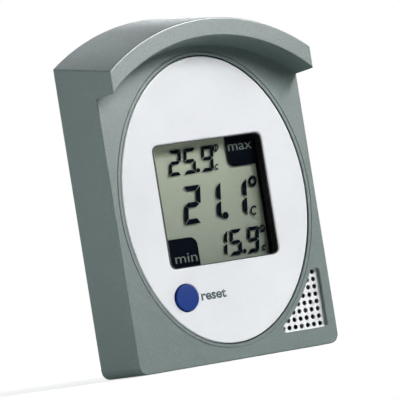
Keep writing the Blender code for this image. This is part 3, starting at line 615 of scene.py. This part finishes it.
def add_digit(bm, digit, place, size, lean, y_front, y_back):
    width, height, thick = size
    bars = segment_outlines(width, height, thick, thick * SEGMENT_GAP)
    for letter in SEGMENTS[digit]:
        outline = [(place[0] + x + z * lean, place[1] + z) for x, z in bars[letter]]
        add_plate(bm, outline, y_front, y_back)


def slanted(centre, outline, squeeze=1.0):
    """An outline round the origin, made narrower, leaning to the right and moved to its place."""
    return [(centre[0] + x * squeeze + z * SIGN_LEAN, centre[1] + z) for x, z in outline]


def add_degree(bm, centre, radius, hole, y_front, y_back, bar):
    """A degree sign: a ring, on the small rows with an upright bar across its hole."""
    outer = slanted(centre, arc(0, 0, radius, 0, 360, 28)[:-1], DEGREE_SQUEEZE)
    inner = slanted(centre, arc(0, 0, hole, 0, 360, 28)[:-1], DEGREE_SQUEEZE)
    add_ring(bm, outer, inner, y_front, y_back)
    if bar:
        half = DEGREE_BAR_HALF
        outline = [(-half, -hole), (half, -hole), (half, hole), (-half, hole)]
        add_plate(bm, slanted(centre, outline), y_front, y_back)


def add_letter_c(bm, centre, height, thick, y_front, y_back):
    """A small open c, made of a bent band."""
    radius = height / 2
    start = LETTER_C_MOUTH
    end = 360 - LETTER_C_MOUTH
    band = arc(0, 0, radius, start, end, 20) + arc(0, 0, radius - thick, end, start, 20)
    add_plate(bm, slanted(centre, band, LETTER_C_SQUEEZE), y_front, y_back)


def build_display():
    low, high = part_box("lcd_glass")
    ink_front = low.y + INK_BEHIND_GLASS * MM
    ink_back = ink_front + INK_THICK * MM
    ground = ink_back + REFLECTOR_BEHIND_INK * MM
    left, right, bottom, top = (low.x / MM, high.x / MM, low.z / MM, high.z / MM)

    bm = bmesh.new()
    outline = [(left, bottom), (right, bottom), (right, top), (left, top)]
    add_plate(bm, outline, ground, high.y)
    mesh = mesh_from(bm, "display_ground")
    ground_piece = link_object("display_ground", mesh, materials["reflector"], "case")
    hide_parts("lcd_glass")

    bm = bmesh.new()
    for row in ROWS:
        for digit, x in row["digits"]:
            add_digit(bm, digit, (x, row["base"]), row["size"], row["lean"], ink_front, ink_back)
        x, z, radius = row["point"]
        add_plate(bm, arc(x, z, radius, 0, 360, 24)[:-1], ink_front, ink_back)
        x, z, radius, hole, bar = row["degree"]
        add_degree(bm, (x, z), radius, hole, ink_front, ink_back, bar)
        x, z, height, thick = row["c"]
        add_letter_c(bm, (x, z), height, thick, ink_front, ink_back)
    mesh = mesh_from(bm, "display_digits")
    link_object("display_digits", mesh, materials["ink"], "case")

    bm = bmesh.new()
    side, edge, radius = TOP_TAB
    top_tab = arc(side + radius, edge + radius, radius, 180, 270)
    top_tab += [(right, edge), (right, top), (side, top)]
    add_plate(bm, top_tab, ink_front, ink_back)
    side, edge, radius = LOW_TAB
    low_tab = arc(side - radius, edge - radius, radius, 0, 90)
    low_tab += [(left, edge), (left, bottom), (side, bottom)]
    add_plate(bm, low_tab, ink_front, ink_back)
    # Painted shadow: a black sheet along the display's right side, where the window's right wall shades it.
    shadow_sheet = [(SHADOW_SHEET_FROM, bottom), (right, bottom), (right, top), (SHADOW_SHEET_FROM, top)]
    shadow_sheet_front, shadow_sheet_back = (ink_back + distance * MM for distance in SHADOW_SHEET_BEHIND_INK)
    add_plate(bm, shadow_sheet, shadow_sheet_front, shadow_sheet_back)
    mesh = mesh_from(bm, "display_tabs_and_shadow_sheet")
    link_object("display_tabs_and_shadow_sheet", mesh, materials["ink"], "case")

    word_y = ink_front - TAB_WORD_PROUD * MM
    for word, *place in TAB_WORDS:
        name = f"display_word_{word}"
        mesh = text_mesh(name, word, *place, word_y, TAB_WORD_THICK)
        link_object(name, mesh, materials["tab_text"], "case")


def build_shade_ring():
    """A thin black ring just inside the window: painted shade for the dark shaded lines along the window's
    edge.
    """
    low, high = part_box("display_lens")
    window = (
        low.x / MM + LENS_MARGIN,
        high.x / MM - LENS_MARGIN,
        low.z / MM + LENS_MARGIN,
        high.z / MM - LENS_MARGIN,
    )
    left, right, bottom, top = SHADE_RING_EDGES
    inner = (window[0] + left, window[1] - right, window[2] + bottom, window[3] - top)
    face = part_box("front_panel")[0].y
    front, back = (face + distance * MM for distance in SHADE_RING_DEPTH)
    outer_corner, inner_corner = SHADE_RING_CORNERS
    outer_edge = rounded_rectangle(*window, outer_corner)
    inner_edge = rounded_rectangle(*inner, inner_corner)
    bm = bmesh.new()
    add_ring(bm, outer_edge, inner_edge, front, back)
    mesh = mesh_from(bm, "window_shade_ring")
    link_object("window_shade_ring", mesh, materials["black"], "case")


def build_label():
    """The word printed on the fascia beside the button."""
    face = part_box("front_panel")[0].y
    mesh = text_mesh("button_label", *LABEL, face - LABEL_PROUD * MM, LABEL_THICK, LABEL_WEIGHT)
    link_object("button_label", mesh, materials["print"], "case")


# ---------------------------------------------------------------- stage, lights and camera


def add_camera():
    azimuth = math.radians(CAMERA_AZIMUTH)
    elevation = math.radians(CAMERA_ELEVATION)
    back = Vector(
        (
            math.sin(azimuth) * math.cos(elevation),
            -math.cos(azimuth) * math.cos(elevation),
            math.sin(elevation),
        )
    )
    data = bpy.data.cameras.new("camera")
    data.lens = CAMERA_LENS
    data.sensor_width = CAMERA_SENSOR
    data.clip_start, data.clip_end = CAMERA_CLIP
    camera = bpy.data.objects.new("camera", data)
    bpy.context.scene.collection.objects.link(camera)
    camera.location = Vector(CAMERA_TARGET) * MM + back * CAMERA_DISTANCE * MM
    camera.rotation_mode = "QUATERNION"
    level = (-back).to_track_quat("-Z", "Y")
    camera.rotation_quaternion = level @ Quaternion((0, 0, -1), math.radians(CAMERA_ROLL))
    bpy.context.scene.camera = camera


def add_area_light(name, place, size, power, colour=(1, 1, 1)):
    """A square light that faces the middle of the object; places and sizes are in metres."""
    data = bpy.data.lights.new(name, "AREA")
    data.shape = "RECTANGLE"
    data.size = size
    data.size_y = size
    data.energy = power
    data.color = colour
    light = bpy.data.objects.new(name, data)
    bpy.context.scene.collection.objects.link(light)
    light.location = place
    light.rotation_mode = "QUATERNION"
    light.rotation_quaternion = (Vector(LIGHT_AIM) - Vector(place)).to_track_quat("-Z", "Y")
    return light


def add_lights():
    add_area_light("key", (0.4, -1.15, 0.78), 0.5, 11.4, (1.0, 0.998, 0.99))
    add_area_light("left_fill", (-1.55, 0.75, 0.16), 0.7, 16.5, (0.97, 0.99, 1.0))
    add_area_light("right_fill", (1.1, -0.5, 0.3), 0.5, 5.2)
    add_area_light("back_right", (0.62, 1.2, 0.42), 0.4, 3.4, (0.94, 0.97, 1.0))
    add_area_light("back_middle", (0.25, 1.2, 0.7), 0.5, 3.0, (0.94, 0.97, 1.0))
    back = add_area_light("back_fill", (0.0, 1.3, 0.12), 0.6, 11.0)
    back.visible_glossy = False
    for sheen in (
        add_area_light("sheen_1", (0.25, -0.4, 0.42), 0.16, 16.5),
        add_area_light("sheen_2", (0.1, -0.42, 0.36), 0.24, 5.0),
    ):
        sheen.visible_diffuse = False  # these only show as a soft shine on the satin plastic


def add_world():
    """A white surround behind the object, and a dimmer soft sky for its lighting."""
    world = bpy.data.worlds.new("studio")
    bpy.context.scene.world = world
    world.use_nodes = True
    tree = world.node_tree
    tree.nodes.clear()
    path = tree.nodes.new("ShaderNodeLightPath")
    seen = tree.nodes.new("ShaderNodeBackground")
    seen.inputs["Color"].default_value = (1, 1, 1, 1)
    light = tree.nodes.new("ShaderNodeBackground")
    light.inputs["Color"].default_value = (0.93, 0.97, 1.0, 1)
    light.inputs["Strength"].default_value = SKY_STRENGTH
    mix = tree.nodes.new("ShaderNodeMixShader")
    output = tree.nodes.new("ShaderNodeOutputWorld")
    tree.links.new(path.outputs["Is Camera Ray"], mix.inputs["Fac"])
    tree.links.new(light.outputs[0], mix.inputs[1])
    tree.links.new(seen.outputs[0], mix.inputs[2])
    tree.links.new(mix.outputs[0], output.inputs["Surface"])


def fading_white(name, clear_radius, fade_radius):
    """Pale matt paint that fades out towards the edge of a disc.

    It glows more for the camera than for other rays: it looks nearly white, and throws little light upwards.
    """
    material = bpy.data.materials.new(name)
    material.use_nodes = True
    tree = material.node_tree
    tree.nodes.clear()
    coordinates = tree.nodes.new("ShaderNodeTexCoord")
    length = tree.nodes.new("ShaderNodeVectorMath")
    length.operation = "LENGTH"
    fade = tree.nodes.new("ShaderNodeMapRange")
    fade.interpolation_type = "SMOOTHSTEP"
    fade.inputs["From Min"].default_value = clear_radius
    fade.inputs["From Max"].default_value = fade_radius
    paint = tree.nodes.new("ShaderNodeBsdfPrincipled")
    paint.inputs["Base Color"].default_value = (0.62, 0.62, 0.62, 1)
    paint.inputs["Roughness"].default_value = 1.0
    paint.inputs["Emission Color"].default_value = (1, 1, 1, 1)
    path = tree.nodes.new("ShaderNodeLightPath")
    glow = tree.nodes.new("ShaderNodeMapRange")
    glow.inputs["To Min"].default_value = FLOOR_GLOW
    glow.inputs["To Max"].default_value = FLOOR_GLOW_SEEN
    clear = tree.nodes.new("ShaderNodeBsdfTransparent")
    mix = tree.nodes.new("ShaderNodeMixShader")
    output = tree.nodes.new("ShaderNodeOutputMaterial")
    tree.links.new(path.outputs["Is Camera Ray"], glow.inputs["Value"])
    tree.links.new(glow.outputs["Result"], paint.inputs["Emission Strength"])
    tree.links.new(coordinates.outputs["Object"], length.inputs[0])
    tree.links.new(length.outputs["Value"], fade.inputs["Value"])
    tree.links.new(fade.outputs["Result"], mix.inputs["Fac"])
    tree.links.new(paint.outputs[0], mix.inputs[1])
    tree.links.new(clear.outputs[0], mix.inputs[2])
    tree.links.new(mix.outputs[0], output.inputs["Surface"])
    return material


def add_floor():
    bm = bmesh.new()
    ring = []
    for step in range(FLOOR_STEPS):
        angle = 2 * math.pi * step / FLOOR_STEPS
        ring.append(bm.verts.new((FLOOR_RADIUS * math.cos(angle), FLOOR_RADIUS * math.sin(angle), 0)))
    bm.faces.new(ring)
    mesh = mesh_from(bm, "floor")
    mesh.materials.append(fading_white("floor_white", *FLOOR_FADE))
    floor = bpy.data.objects.new("floor", mesh)
    bpy.context.scene.collection.objects.link(floor)
    floor.location.z = -FLOOR_BELOW_FOOT
    floor.visible_glossy = False


# ---------------------------------------------------------------- whole scene

bpy.context.scene.view_settings.view_transform = "Standard"
materials = build_materials()
dress_inner_nodes()
build_outside()
build_button()
build_display()
build_shade_ring()
build_label()
add_floor()
add_world()
add_lights()
add_camera()
